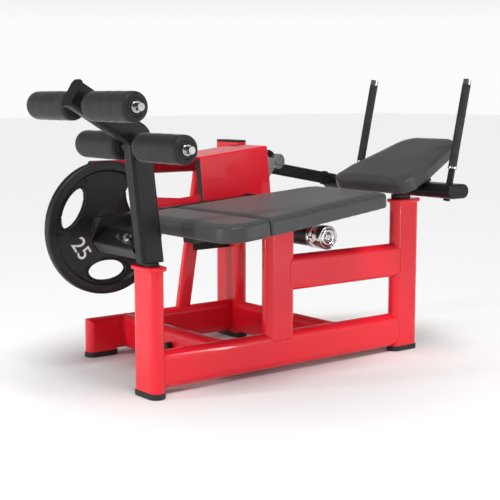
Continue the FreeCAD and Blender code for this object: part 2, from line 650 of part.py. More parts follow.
def build_rollers():
    """Four foam rollers on two axles through the arm."""
    start, end = size("roller_in"), size("roller_out")
    axle, core, foam = size("axle_radius"), size("core_radius"), size("roller_radius")
    washer, nut_long, collar = 4, 20, start - size("arm_deep") / 2
    round_over = 9
    axles, nuts = [], []
    for level, centre in (("upper", UPPER_AXLE), ("lower", LOWER_AXLE)):
        axles.append(rod_y(centre, axle, -end - washer - nut_long, end + washer + nut_long))
        for side, sign in (("near", -1), ("far", 1)):
            def span(low, high):
                return (low, high) if sign > 0 else (-high, -low)
            sleeve = rod_y(centre, core, *span(start + 1, end - 1))
            sleeve = sleeve.cut(rod_y(centre, axle + size("running_gap"), *span(start, end)))
            soft = rod_y(centre, foam, *span(start, end))
            soft = soft.makeFillet(round_over, soft.Edges).cut(rod_y(centre, core, *span(start, end)))
            shaped("%s_%s_roller" % (level, side), Part.makeCompound([soft, sleeve]))
            for low, high, radius in ((start - collar, start - 1, core + 4), (end + 1, end + 1 + washer, 15),
                                      (end + 1 + washer, end + washer + nut_long, 11)):
                nuts.append(rod_y(centre, radius, *span(low, high)).cut(
                    rod_y(centre, axle, *span(low, high))))
    shaped("roller_axles", Part.makeCompound(axles))
    shaped("axle_nuts", Part.makeCompound(nuts))


def build_plate():
    """A round grip plate: raised rim and hub, a recessed web and three hand holes."""
    centre = (size("plate_x"), size("plate_z"))
    y, thick, radius = size("plate_y"), size("plate_thick"), size("plate_radius")
    dish, rim, hub, round_over = 9, 30, 48, 10
    profile = [(size("plate_bore"), 4), (hub, 4), (hub + 14, dish), (radius - rim - 6, dish),
               (radius - rim, 0), (radius, 0)]
    front = [Vector(reach, depth, 0) for reach, depth in profile]
    back = [Vector(reach, thick - depth, 0) for reach, depth in reversed(profile)]
    face = Part.Face(Part.makePolygon(front + back + front[:1]))
    plate = face.revolve(Vector(), Vector(0, 1, 0), 360)
    rim_edges = [edge for edge in plate.Edges
                 if edge.BoundBox.XMax > radius - 0.1 and edge.BoundBox.YLength < 1]
    plate = plate.makeFillet(round_over, rim_edges)
    for angle in (30, 150, 270):
        outline = Part.Wire(Part.Ellipse(Vector(), size("hole_half_long"), size("hole_half_wide")).toShape())
        hole = Part.Face(outline).extrude(Vector(0, 0, thick + 10))
        hole.rotate(Vector(), Vector(1, 0, 0), -90)
        hole.rotate(Vector(), Vector(0, 1, 0), 90 - angle)
        hole.translate(point_at((0, 0), angle, size("hole_reach"), -5))
        plate = plate.cut(hole)
    plate.translate(Vector(centre[0], y, centre[1]))
    shaped("weight_plate", plate)
    peg, beam_side = size("peg_radius"), size("beam_y") + size("beam_wide") / 2
    horn = rod_y(centre, peg, beam_side + 12, size("peg_end")).fuse(rod_y(centre, 38, y - 12, y))
    groove = rod_y(centre, peg + 5, size("peg_groove"), size("peg_groove") + 4)
    groove = groove.cut(rod_y(centre, peg - 2, size("peg_groove"), size("peg_groove") + 4))
    shaped("plate_horn", horn.removeSplitter().cut(groove))
    collar = rod_y(centre, peg + 11, y + thick, y + thick + 22)
    shaped("plate_collar", collar.cut(rod_y(centre, peg, y + thick, y + thick + 22)))
    bracket = slab([(centre[0] - 52, centre[1] - 34, 12), (centre[0] + 52, centre[1] - 34, 12),
                    (centre[0] + 52, 527, 6), (centre[0] - 52, 519, 6)], 12)
    bracket.rotate(Vector(), Vector(1, 0, 0), 90)
    bracket.translate(Vector(0, beam_side + 12, 0))
    shaped("horn_bracket", bracket)
    bolts = [rod_y((centre[0] + step, centre[1] - 20), 8, beam_side - 8, beam_side) for step in (-34, 34)]
    tilt = math.radians(size("cross_tilt"))
    outward = Vector(-math.sin(tilt), 0, math.cos(tilt))
    face_y = Vector(size("cross_x"), 0, size("cross_z")) + outward * (size("cross_deep") / 2)
    for along, start, end, radius in ((95, 0, 3, 17), (95, 3, 14, 10), (147, 0, 7, 6)):
        bolt = Part.makeCylinder(radius, end - start)
        bolt.Placement = facing(face_y + Vector(0, along, 0) + outward * start, outward)
        bolts.append(bolt)
    shaped("lever_bolts", Part.makeCompound(bolts))


def build_leg_drive():
    """Cross tube, side beam, shaft and gear of the leg lever."""
    wide, tall, y = size("beam_wide"), size("beam_tall"), size("beam_y")
    plate_thick, arm_side = 6, size("arm_deep") / 2
    cross_end = y - wide / 2 - plate_thick
    cross = box_tube(size("cross_wide"), size("cross_deep"), 3, cross_end - arm_side, 8)
    cross.rotate(Vector(), Vector(1, 0, 0), -90)
    cross.rotate(Vector(), Vector(0, 1, 0), -size("cross_tilt"))
    cross.translate(Vector(size("cross_x"), arm_side, size("cross_z")))
    # the plate that closes the cross tube and carries the beam's front end
    joint = slab([(-46, 452, 6), (-18, 417, 6), (46, 466, 6), (62, 492, 6), (62, 534, 6), (-6, 532, 4)],
                 plate_thick)
    joint.rotate(Vector(), Vector(1, 0, 0), 90)
    joint.translate(Vector(0, cross_end + plate_thick, 0))
    shaped("leg_cross_tube", Part.makeCompound([cross, joint]))
    start = Vector(size("beam_start_x"), y, size("beam_start_z"))
    end = Vector(LEG_PIVOT[0], y, LEG_PIVOT[1])
    beam = box_tube(wide, tall, 3, (end - start).Length, 5).fuse(box_tube(wide, tall, None, 3, 5))
    beam.rotate(Vector(), Vector(0, 0, 1), 90)
    beam.Placement = facing(start, (end - start).normalize()).multiply(beam.Placement)
    hub = size("hub_radius")
    hub_start = y - wide / 2
    boss = rod_y(LEG_PIVOT, hub, hub_start - 2, y + wide / 2 + 2)
    shaft = size("shaft_radius")
    welded = beam.fuse(boss).cut(rod_y(LEG_PIVOT, shaft, 0, 600))
    shaped("leg_beam", welded.removeSplitter())
    shaft_end = size("far_plate_y") + size("pivot_plate_thick") + 10
    shaped("leg_shaft", rod_y(LEG_PIVOT, shaft, hub_start - 6, shaft_end))
    first, last = MESH_ANGLE - 22, MESH_ANGLE + size("leg_travel") + 22
    gear = sector_gear(size("leg_teeth"), first, last, MESH_ANGLE, shaft)
    shaped("leg_gear", stand_gear(gear, LEG_PIVOT))


def build_back_lever():
    """Hub, gear, arm, crossbar, head pad, handles and counterweight of the back lever."""
    shaft, hub = size("shaft_radius"), size("back_hub_radius")
    far_end = size("far_plate_y") + size("pivot_plate_thick") + 10
    travel = size("leg_travel") * size("leg_teeth") / size("back_teeth")
    mesh = MESH_ANGLE + 180
    half_step = 180.0 / size("back_teeth")
    gear = sector_gear(size("back_teeth"), mesh - travel - 18, mesh + 18, mesh + half_step, shaft)
    gear = stand_gear(gear, BACK_PIVOT)
    gear_y, gear_thick = size("gear_y"), size("gear_thick")
    weight = (size("weight_x"), size("weight_z"))
    elbow = (BACK_PIVOT[0] - 67, BACK_PIVOT[1] - 67)
    hanger = link_plate(elbow, weight, 20, gear_y, gear_thick)
    bore = rod_y(BACK_PIVOT, shaft, gear_y, gear_y + gear_thick)
    shaped("back_gear", gear.fuse(hanger).cut(bore).removeSplitter())

    hub_start = gear_y + gear_thick
    sleeve = rod_y(BACK_PIVOT, hub, hub_start, size("near_plate_y") - 4)
    axle = rod_y(BACK_PIVOT, shaft, size("gear_y") - 4, far_end)
    sleeve = sleeve.cut(rod_y(BACK_PIVOT, shaft, hub_start, 600))
    shaped("back_shaft", axle)
    start, end = (Vector(size(name + "_x"), size(name + "_y"), size(name + "_z"))
                  for name in ("back_arm", "back_arm_end"))
    along = (end - start).normalize()
    tall, deep = size("back_arm_tall"), size("back_arm_deep")
    bar_solid = crossbar_solid(0)

    def oval_length(near_end, far_end, wall=None, lip=0):
        piece = box_tube(tall + 2 * lip, deep + 2 * lip, wall, far_end - near_end, deep / 2.1 + lip)
        turn = Rotation(Vector(0, 0, 1), Vector(0, -1, 0), along, "ZXY")
        piece.Placement = FreeCAD.Placement(start + along * near_end, turn)
        return piece

    reach = (end - start).Length
    arm = oval_length(0, reach, 3).fuse(oval_length(0, 3))
    arm = arm.cut(rod_y(BACK_PIVOT, hub, 300, 600)).cut(bar_solid)
    shaped("back_arm", Part.makeCompound([sleeve, max(arm.Solids, key=lambda solid: solid.Volume)]))
    collar = oval_length(reach - 52, reach - 36, lip=4).cut(oval_length(0, reach)).cut(bar_solid)
    shaped("back_arm_collar", max(collar.Solids, key=lambda solid: solid.Volume))
    bar_tube = bar_solid.cut(crossbar_solid(3))
    for side in (-1, 1):
        bar_tube = bar_tube.cut(handle_length(side, 0, 100, size("handle_radius")))
    shaped("back_crossbar", bar_tube)
    caps = []
    for start, outer in ((-size("bar_near") - 8, -size("bar_near") - 8), (size("bar_far"), size("bar_far") + 8)):
        cap = crossbar_slice(0, start, 8)
        rim = [edge for edge in cap.Edges
               if edge.BoundBox.YLength < 0.01 and abs(edge.BoundBox.Center.y - outer) < 0.01]
        caps.append(cap.makeFillet(6, rim))
    shaped("crossbar_caps", Part.makeCompound(caps))
    near, long = size("weight_near"), size("weight_long")
    shaped("counterweight", rod_y(weight, size("weight_radius"), near, near + long))
    shaped("counterweight_bar", rod_y(weight, size("weight_bar_radius"), near + long, gear_y))


def crossbar_slice(inset, start, long):
    """A length of the flat-oval crossbar, its wall inset by a distance."""
    wide, tall = size("bar_wide") / 2 - inset, size("bar_tall") / 2 - inset
    round_end = tall * 0.999
    shape = slab([(-wide, -tall, round_end), (wide, -tall, round_end), (wide, tall, round_end),
                  (-wide, tall, round_end)], long)
    shape.rotate(Vector(), Vector(1, 0, 0), -90)
    shape.translate(Vector(size("bar_x"), start, size("bar_z")))
    return shape


def crossbar_solid(inset):
    return crossbar_slice(inset, -size("bar_near"), size("bar_near") + size("bar_far"))


def handle_length(side, start, end, outer, inner=0):
    """A length of one upright handle, a tube when it has an inner radius."""
    foot = Vector(size("handle_x"), side * size("handle_y"), size("handle_z"))
    way = turned(Vector(0, 0, 1), size("handle_lean"))
    piece = Part.makeCylinder(outer, end - start)
    if inner:
        piece = piece.cut(Part.makeCylinder(inner, end - start))
    piece.Placement = facing(foot + way * start, way)
    return piece


def build_handles():
    """A steel upright, a foam grip, a chrome ring and a chrome cap on each side."""
    radius, grip = size("handle_radius"), size("grip_radius")
    grip_start, grip_end = size("grip_start"), size("grip_end")
    ring_long = 7
    uprights, grips, trims = [], [], []
    for side in (-1, 1):
        uprights.append(handle_length(side, 0, grip_end, radius))
        grips.append(handle_length(side, grip_start, grip_end, grip, radius))
        trims.append(handle_length(side, grip_start - ring_long, grip_start, grip + 1, radius))
        trims.append(handle_length(side, grip_end, size("handle_long"), grip))
    shaped("handle_uprights", Part.makeCompound(uprights))
    shaped("handle_grips", Part.makeCompound(grips))
    shaped("handle_trims", Part.makeCompound(trims))


def build_head_pad():
    """The tapered head and shoulder pad, its board and the brackets on the crossbar."""
    rise, thick = size("pad_slope"), size("pad_thick")
    long, half, head = size("pad_long"), size("pad_half"), size("pad_head_half")
    waist = long * 0.3
    outline = mirrored_outline([(0, half, 50), (waist, half - 4, 150), (long, head, 70)])
    board_outline = mirrored_outline([(20, half - 22, 35), (waist, half - 26, 120), (long - 20, head - 20, 55)])
    board = slab(board_outline, size("board_thick"))
    pad = slab(outline, thick).cut(board)
    low_x, low_z = size("pad_low_x"), size("pad_low_z")
    shaped("head_pad", tilted(pad, low_x, 0, low_z, rise))
    shaped("head_pad_board", tilted(board, low_x, 0, low_z, rise))
    run = (size("bar_x") - low_x) / math.cos(math.radians(rise))
    brackets = []
    for side in (-70, 70):
        lug = Part.makeBox(110, 8, 60, Vector(run - 45, side - 4, -60))
        foot = Part.makeBox(140, 40, 6, Vector(run - 60, side - 20, -6))
        lug = tilted(lug.fuse(foot).removeSplitter(), low_x, 0, low_z, rise)
        below = Part.makeBox(400, 60, 400, Vector(size("bar_x") - 200, side - 30, size("bar_z") - 400))
        brackets.append(lug.cut(crossbar_solid(0)).cut(below))
    shaped("head_pad_brackets", Part.makeCompound([piece.Solids[0] for piece in brackets]))


def check_and_write():
    """Stop on any object that failed, then write one file for each piece."""
    document.recompute()
    for item in document.Objects:
        if "Invalid" in item.State or "Error" in item.State:
            raise RuntimeError("%s did not compute" % item.Label)
    os.makedirs("parts", exist_ok=True)
    whole = FreeCAD.BoundBox()
    for piece in PARTS:
        shape = piece.Shape
        if shape.isNull() or not shape.isValid() or shape.Volume <= 0:
            raise RuntimeError("%s has no sound shape" % piece.Label)
        whole.add(shape.BoundBox)
        shape.exportStep("parts/%s.step" % piece.Label)
    print("%d pieces, box X %.1f..%.1f  Y %.1f..%.1f  Z %.1f..%.1f" % (
        len(PARTS), whole.XMin, whole.XMax, whole.YMin, whole.YMax, whole.ZMin, whole.ZMax))


build_side_frame(build_spine())
build_feet_and_caps()
document.recompute()
build_seat()
build_pivot_housing()
build_lever_guard()
build_leg_arm()
build_rollers()
build_plate()
build_leg_drive()
build_back_lever()
build_handles()
build_head_pad()
check_and_write()
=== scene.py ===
"""Plate-loaded lying bench: materials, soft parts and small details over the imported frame.

Lengths are metres unless a name or a comment says millimetres.
"""
import bpy
import bmesh
import json
import math
from mathutils import Matrix, Vector


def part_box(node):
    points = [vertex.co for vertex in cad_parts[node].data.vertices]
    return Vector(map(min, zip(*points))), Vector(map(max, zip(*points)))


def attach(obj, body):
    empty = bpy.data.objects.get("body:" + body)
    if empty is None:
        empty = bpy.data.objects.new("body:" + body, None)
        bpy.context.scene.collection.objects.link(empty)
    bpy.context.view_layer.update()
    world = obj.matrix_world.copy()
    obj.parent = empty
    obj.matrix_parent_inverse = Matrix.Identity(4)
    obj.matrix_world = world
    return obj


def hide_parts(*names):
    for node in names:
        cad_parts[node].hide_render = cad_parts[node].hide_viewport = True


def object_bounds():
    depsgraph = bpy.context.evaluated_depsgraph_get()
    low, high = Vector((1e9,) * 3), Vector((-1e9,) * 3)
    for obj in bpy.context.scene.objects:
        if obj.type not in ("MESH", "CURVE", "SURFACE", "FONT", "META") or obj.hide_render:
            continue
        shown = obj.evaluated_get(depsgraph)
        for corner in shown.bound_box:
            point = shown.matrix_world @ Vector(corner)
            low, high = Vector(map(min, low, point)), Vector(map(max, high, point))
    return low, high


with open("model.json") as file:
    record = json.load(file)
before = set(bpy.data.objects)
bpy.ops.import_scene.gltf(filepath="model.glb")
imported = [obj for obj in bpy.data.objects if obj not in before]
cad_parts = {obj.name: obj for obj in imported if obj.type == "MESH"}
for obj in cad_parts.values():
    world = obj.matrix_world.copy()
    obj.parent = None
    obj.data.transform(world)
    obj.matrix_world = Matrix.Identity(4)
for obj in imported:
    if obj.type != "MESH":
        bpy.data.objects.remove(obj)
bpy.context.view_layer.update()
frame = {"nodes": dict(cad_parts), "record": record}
nodes = frame["nodes"]
scene = bpy.context.scene
MM = 0.001


def corners(node):
    """The lowest and highest corner of a CAD node's box."""
    low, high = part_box(node)
    return Vector(low), Vector(high)


def middle(node):
    low, high = corners(node)
    return (low + high) / 2


# The foot of the front post, where the design's millimetres start.
POST_AXIS = Vector((*middle("front_post")[:2], 0))


def at(x, y, z):
    """A place given in the design's millimetres."""
    return POST_AXIS + Vector((x, y, z)) * MM


def turns(steps):
    """Equal steps round a full turn, in radians."""
    return [2 * math.pi * step / steps for step in range(steps)]


# ---------------------------------------------------------------- materials

class Shader:
    """A node material with one Principled shader, built up by short calls.

    All patterns lie in the object's own space, in metres.
    """

    def __init__(self, name, **sockets):
        self.material = bpy.data.materials.new(name)
        self.material.use_nodes = True
        self.tree = self.material.node_tree
        self.shader = self.tree.nodes["Principled BSDF"]
        for socket, value in sockets.items():
            self.shader.inputs[socket.replace("_", " ")].default_value = value
        self.coordinates = self.tree.nodes.new("ShaderNodeTexCoord").outputs["Object"]

    def node(self, kind, **sockets):
        made = self.tree.nodes.new(kind)
        for socket, value in sockets.items():
            made.inputs[socket.replace("_", " ")].default_value = value
        return made

    def link(self, output, socket):
        self.tree.links.new(output, socket)
        return self

    def scaled(self, stretch):
        mapping = self.node("ShaderNodeMapping", Scale=stretch)
        self.link(self.coordinates, mapping.inputs["Vector"])
        return mapping.outputs["Vector"]

    def noise(self, scale, detail=3, stretch=None):
        """Noise with about this many features to a metre."""
        made = self.node("ShaderNodeTexNoise", Scale=scale, Detail=detail)
        self.link(self.scaled(stretch) if stretch else self.coordinates, made.inputs["Vector"])
        return made.outputs["Fac"]

    def cells(self, scale, feature="F1"):
        made = self.node("ShaderNodeTexVoronoi", Scale=scale)
        made.feature = feature
        self.link(self.coordinates, made.inputs["Vector"])
        return made.outputs["Distance"]

    def spread(self, source, low, high, start=0.3, end=0.7):
        """A value that runs from low to high as the source goes from start to end."""
        made = self.node("ShaderNodeMapRange", From_Min=start, From_Max=end, To_Min=low, To_Max=high)
        self.link(source, made.inputs["Value"])
        return made.outputs["Result"]

    def colour(self, source, first, second, start=0.3, end=0.7):
        """The base colour runs from the first to the second as the source goes from start to end."""
        ramp = self.node("ShaderNodeValToRGB")
        ramp.color_ramp.elements[0].position = start
        ramp.color_ramp.elements[1].position = end
        ramp.color_ramp.elements[0].color = (*first, 1)
        ramp.color_ramp.elements[1].color = (*second, 1)
        self.link(source, ramp.inputs["Fac"])
        return self.link(ramp.outputs["Color"], self.shader.inputs["Base Color"])

    def roughness(self, source, low, high):
        return self.link(self.spread(source, low, high), self.shader.inputs["Roughness"])

    def bump(self, *heights):
        """Stacks bumps, each a source with its strength and its distance in metres."""
        normal = None
        for source, strength, distance in heights:
            made = self.node("ShaderNodeBump", Strength=strength, Distance=distance)
            self.link(source, made.inputs["Height"])
            if normal:
                self.link(normal, made.inputs["Normal"])
            normal = made.outputs["Normal"]
        return self.link(normal, self.shader.inputs["Normal"])


def paint(name, base, deep, rough, coat, orange_peel=0.05):
    """Sprayed paint under a clear coat, with the faint dimples of an orange peel."""
    look = Shader(name, Coat_Weight=coat, Coat_Roughness=0.06, Specular_IOR_Level=0.2)
    look.colour(look.noise(2.2), deep, base)
    look.roughness(look.noise(9), rough, rough + 0.03)
    look.bump((look.noise(420, 2), orange_peel, 0.0001), (look.noise(2600, 1), 0.02, 0.00005))
    return look.material


def vinyl():
    """Pad cover with a fine leather grain and pores."""
    look = Shader("pad_vinyl", Specular_IOR_Level=0.3, Sheen_Weight=0.2, Sheen_Roughness=0.4)
    look.colour(look.noise(9, 5), (0.044, 0.0445, 0.046), (0.050, 0.0505, 0.052))
    look.roughness(look.noise(140, 4), 0.34, 0.44)
    grain, pores = look.cells(520, "DISTANCE_TO_EDGE"), look.noise(1500, 3)
    look.bump((look.noise(14, 2), 0.12, 0.001), (grain, 0.32, 0.0003), (pores, 0.18, 0.00015))
    return look.material


def foam():
    """Matt foam skin of the rollers."""
    look = Shader("roller_foam", Specular_IOR_Level=0.2, Sheen_Weight=0.4, Sheen_Roughness=0.25)
    look.colour(look.noise(26, 4), (0.019, 0.0193, 0.020), (0.024, 0.0243, 0.025))
    look.roughness(look.noise(200, 4), 0.42, 0.6)
    look.bump((look.noise(18, 2), 0.1, 0.0008), (look.cells(900), 0.22, 0.0002))
    return look.material


def rubber(name, base, light, rough):
    """Moulded rubber or plastic with a fine texture."""
    look = Shader(name, Specular_IOR_Level=0.35)
    look.colour(look.noise(30, 5), base, light)
    look.roughness(look.noise(90, 4), rough, rough + 0.15)
    look.bump((look.noise(900, 4), 0.35, 0.0003), (look.noise(60, 3), 0.12, 0.001))
    return look.material


def chrome():
    """Bright plate with a slight cloudiness."""
    look = Shader("chrome", Metallic=1)
    look.colour(look.noise(40, 3), (0.52, 0.52, 0.53), (0.64, 0.64, 0.65))
    look.roughness(look.noise(150, 4), 0.05, 0.12)
    look.bump((look.noise(300, 2), 0.03, 0.0002))
    return look.material


def steel():
    """Turned steel with streaks round the work."""
    look = Shader("machined_steel", Metallic=1)
    streaks = look.noise(300, 3, stretch=(1, 0.05, 1))
    look.colour(look.noise(25, 4), (0.30, 0.30, 0.31), (0.46, 0.46, 0.47))
    look.roughness(streaks, 0.24, 0.42)
    look.bump((streaks, 0.1, 0.0002))
    return look.material


def plywood():
    """Stained board with the layers showing at its edges."""
    look = Shader("pad_board")
    layers = look.noise(260, 3, stretch=(0.2, 0.2, 4))
    look.colour(layers, (0.020, 0.018, 0.016), (0.055, 0.046, 0.038))
    look.roughness(layers, 0.55, 0.75)
    look.bump((layers, 0.3, 0.0004))
    return look.material


RED = paint("red_paint", (0.82, 0.010, 0.026), (0.78, 0.009, 0.023), rough=0.3, coat=0.5)
# Painted shade: a darker copy of the red paint for the back rail, standing in for the shadow it lies in.
SHADED_RED = paint("shaded_red_paint", (0.30, 0.008, 0.014), (0.24, 0.006, 0.010), rough=0.3, coat=0.4)
WELD = paint("painted_weld", (0.80, 0.010, 0.024), (0.72, 0.008, 0.020), rough=0.26, coat=0.5,
             orange_peel=0.3)
BLACK = paint("black_paint", (0.012, 0.012, 0.013), (0.008, 0.008, 0.009), rough=0.34, coat=0.08)
VINYL, FOAM, CHROME, STEEL, BOARD = vinyl(), foam(), chrome(), steel(), plywood()
RUBBER = rubber("black_rubber", (0.014, 0.014, 0.015), (0.026, 0.026, 0.028), rough=0.5)
PLATE = rubber("plate_rubber", (0.0045, 0.0047, 0.005), (0.0075, 0.0078, 0.0085), rough=0.38)
WHITE = rubber("white_numerals", (0.70, 0.70, 0.69), (0.80, 0.80, 0.79), rough=0.42)

BY_SLOT = {
    "red_paint": RED, "black_paint": BLACK, "black_rubber": RUBBER, "grey_vinyl": VINYL, "board": BOARD,
    "roller_foam": FOAM, "plate_rubber": PLATE, "chrome": CHROME, "steel": STEEL,
}
SLOT_OF = {part["node"]: part["material_slot"] for part in frame["record"]["subparts"]}
BODIES = frame["record"]["behaviour"]["bodies"]
BODY_OF = {node: body for body, members in BODIES.items() for node in members}


def dress_nodes():
    """Every CAD node in its slot's look; the long band at the back gets a darker copy of the red, painted
    shade for the shadow it lies in.
    """
    for name, node in nodes.items():
        look = SHADED_RED if name == "side_upper_rail" else BY_SLOT[SLOT_OF[name]]
        node.data.materials.clear()
        node.data.materials.append(look)


# ---------------------------------------------------------------- pieces

def cover(mesh, look, smooth=True):
    """One material all over a mesh, shaded smooth or flat."""
    mesh.materials.clear()
    mesh.materials.append(look)
    for polygon in mesh.polygons:
        polygon.use_smooth = smooth


def piece(name, mesh, look, like, smooth=True):
    """A new object that rides with a CAD node's body."""
    cover(mesh, look, smooth)
    made = bpy.data.objects.new(name, mesh)
    scene.collection.objects.link(made)
    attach(made, BODY_OF[like])
    return made


def from_bmesh(name, shape):
    """A mesh from a bmesh, its faces turned outwards."""
    bmesh.ops.recalc_face_normals(shape, faces=shape.faces)
    mesh = bpy.data.meshes.new(name)
    shape.to_mesh(mesh)
    shape.free()
    return mesh


def lathe(profile, axis_point, steps, axis=Vector((0, 1, 0)), sides=None):
    """A closed solid of revolution from (reach, along) pairs, about an axis through a point.

    With sides = (count, reach), what lies farther out than that reach is a polygon and not a circle.
    """
    shape = bmesh.new()
    turn = Vector((0, 0, 1)).rotation_difference(axis).to_matrix()
    rings = []
    for reach, along in profile:
        ring = []
        for angle in turns(steps):
            spread = reach
            if sides and reach > sides[1]:
                half_side = math.pi / sides[0]
                inside = (angle % (2 * half_side)) - half_side
                spread = reach * math.cos(half_side) / math.cos(inside)
            local = Vector((spread * math.cos(angle), spread * math.sin(angle), along))
            ring.append(shape.verts.new(axis_point + turn @ local))
        rings.append(ring)
    for lower, upper in zip(rings, rings[1:]):
        for step in range(steps):
            after = (step + 1) % steps
            shape.faces.new((lower[step], lower[after], upper[after], upper[step]))
    shape.faces.new(rings[0])
    shape.faces.new(list(reversed(rings[-1])))
    return shape


RIPPLE_TURN = 2.1    # radians of a weld's ripple from one ring of its bead to the next
NEARLY_UPRIGHT = 0.99


def tube(points, radius, sides=8, closed=True, ripple=0.0):
    """A bead along a closed or open line of points, its radius rippled like a weld."""
    shape = bmesh.new()
    rings = []
    count = len(points)
    for index, point in enumerate(points):
        before = points[index - 1] if closed or index else point
        after = points[(index + 1) % count] if closed or index < count - 1 else point
        along = (after - before).normalized()
        side = along.orthogonal() if abs(along.z) > NEARLY_UPRIGHT else along.cross(Vector((0, 0, 1)))
        side.normalize()
        up = along.cross(side)
        swell = radius * (1 + ripple * math.sin(index * RIPPLE_TURN))
        rings.append([shape.verts.new(point + side * swell * math.cos(turn) + up * swell * math.sin(turn))
                      for turn in turns(sides)])
    for index in range(count if closed else count - 1):
        lower, upper = rings[index], rings[(index + 1) % count]
        for step in range(sides):
            after = (step + 1) % sides
            shape.faces.new((lower[step], lower[after], upper[after], upper[step]))
    if not closed:
        shape.faces.new(rings[0])
        shape.faces.new(list(reversed(rings[-1])))
    return shape


def with_modifiers(made, *modifiers):
    """Applies modifiers given as (kind, settings) pairs, in order."""
    for kind, settings in modifiers:
        modifier = made.modifiers.new(kind.lower(), kind)
        for name, value in settings.items():
            setattr(modifier, name, value)
    settled = made.evaluated_get(bpy.context.evaluated_depsgraph_get())
    mesh = bpy.data.meshes.new_from_object(settled)
    made.modifiers.clear()
    made.data = mesh


# ---------------------------------------------------------------- pads

TOP_SKIN = 0.007             # how deep the loose top of a pad reaches; its sides and underside are held
ROUNDING = {"factor": 0.5, "iterations": 8}
SETTLING = {"factor": 0.5, "iterations": 5}
CLOTH_FRAMES = 20
AIR_PRESSURE = 4
SKIN_STIFFNESS = 30
CROWN_FLATNESS = 4           # a higher power keeps more of a pad's top flat
EDGE_SHARE = 0.5             # the share of the crown that a pad's top edge gives up
MOSTLY_UP = 0.5


def top_normal(mesh):
    """The normal of a block's largest upward face."""
    best = max(mesh.polygons, key=lambda face: face.area if face.normal.z > MOSTLY_UP else 0)
    return best.normal.copy()


def extent(points):
    """The lowest and highest corner of a list of points."""
    return (Vector([min(point[axis] for point in points) for axis in range(3)]),
            Vector([max(point[axis] for point in points) for axis in range(3)]))


def pad(node, name, voxel, most, crown, grow_low, grow_high):
    """The vinyl pad for a CAD block: blown up a little by cloth, then fitted to the block's box.

    The box is grown by grow_low and grow_high, in millimetres along the level block's axes.
    """
    mesh = nodes[node].data.copy()
    level = top_normal(mesh).rotation_difference(Vector((0, 0, 1))).to_matrix().to_4x4()
    mesh.transform(level)
    low, high = extent([point.co for point in mesh.vertices])
    made = piece(name, mesh, VINYL, node)
    with_modifiers(made, ("REMESH", {"mode": "VOXEL", "voxel_size": voxel}), ("SMOOTH", ROUNDING))
    held = made.vertex_groups.new(name="held")
    for point in made.data.vertices:
        if point.co.z < high.z - TOP_SKIN:
            held.add([point.index], 1.0, "REPLACE")
    blow_up(made, most)
    made.vertex_groups.clear()
    with_modifiers(made, ("SMOOTH", SETTLING), ("SUBSURF", {"levels": 1, "render_levels": 1}))
    fit_to(made.data.vertices, low - Vector(grow_low) * MM, high + Vector(grow_high) * MM, crown)
    made.data.transform(level.inverted())
    cover(made.data, VINYL)
    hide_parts(node)


def fit_to(points, low, high, crown):
    """Scales a pad to a box, and raises the middle of its top above the edge by the crown."""
    soft_low, soft_high = extent([point.co for point in points])
    scale = [(high[axis] - low[axis]) / (soft_high[axis] - soft_low[axis]) for axis in range(3)]
    centre, half = (low + high) / 2, (high - low) / 2
    for point in points:
        place = Vector([low[axis] + (point.co[axis] - soft_low[axis]) * scale[axis] for axis in range(3)])
        rise = max(0, (place.z - centre.z) / half.z)
        across = min(1, abs(place.x - centre.x) / half.x) ** CROWN_FLATNESS
        along = min(1, abs(place.y - centre.y) / half.y) ** CROWN_FLATNESS
        place.z += crown * rise * ((1 - across) * (1 - along) - EDGE_SHARE)
        point.co = place


def blow_up(made, most):
    """Cloth under pressure, held by the group "held"; no point moves farther than most."""
    rest = [point.co.copy() for point in made.data.vertices]
    cloth = made.modifiers.new("cloth", "CLOTH")
    cloth.settings.use_pressure = True
    cloth.settings.uniform_pressure_force = AIR_PRESSURE
    cloth.settings.vertex_group_mass = "held"
    cloth.settings.tension_stiffness = SKIN_STIFFNESS
    cloth.settings.compression_stiffness = SKIN_STIFFNESS
    cloth.settings.effector_weights.gravity = 0
    cloth.point_cache.frame_start = 1
    cloth.point_cache.frame_end = CLOTH_FRAMES
    for number in range(1, CLOTH_FRAMES + 1):
        scene.frame_set(number)
    settled = made.evaluated_get(bpy.context.evaluated_depsgraph_get())
    blown = [point.co.copy() for point in settled.data.vertices]
    made.modifiers.clear()
    for point, start, end in zip(made.data.vertices, rest, blown):
        step = end - start
        point.co = start + (step.normalized() * most if step.length > most else step)
    scene.frame_set(1)


def build_pads():
    """The two seat pads, which don't grow into the seam between them, and the head pad."""
    pad("seat_pad_front", "seat_cushion_front", voxel=0.005, most=0.003, crown=0.001,
        grow_low=(3, 4, 0), grow_high=(0, 4, 1))
    pad("seat_pad_rear", "seat_cushion_rear", voxel=0.006, most=0.003, crown=0.001,
        grow_low=(0, 4, 0), grow_high=(7, 4, 1))
    pad("head_pad", "head_cushion", voxel=0.005, most=0.004, crown=0.002,
        grow_low=(2, 4, 0), grow_high=(8, 4, 3))


# ---------------------------------------------------------------- rollers

FOAM_EDGE = 0.012            # radius of a roller's rounded end
FOAM_SHORT = 0.001           # how much the foam stops short of the CAD roller at each end
FOAM_SWELL = 0.0006          # how far the middle of the foam stands proud
FOAM_UNEVEN = 0.0004         # the height of a slow wave along it
WAVE_RADIANS = 23            # how far that wave runs over the roller's length
EDGE_STEPS, LENGTH_STEPS = 6, 12
CAP_SUNK = 0.0035            # how far an end cap lies inside the foam's end
# The foam's end from its bore outwards: (reach, how deep it lies).
FOAM_END = [(0.016, 0.004), (0.024, 0.004), (0.026, 0)]
# An end cap from its bore round its face: (reach, along).
END_CAP = [(0.008, -0.004), (0.0235, -0.004), (0.0245, 0.001), (0.0235, 0.0030), (0.019, 0.0032),
           (0.018, 0.0022), (0.008, 0.0022)]
ROLLERS = [(level, side) for level in ("upper", "lower") for side in ("near", "far")]


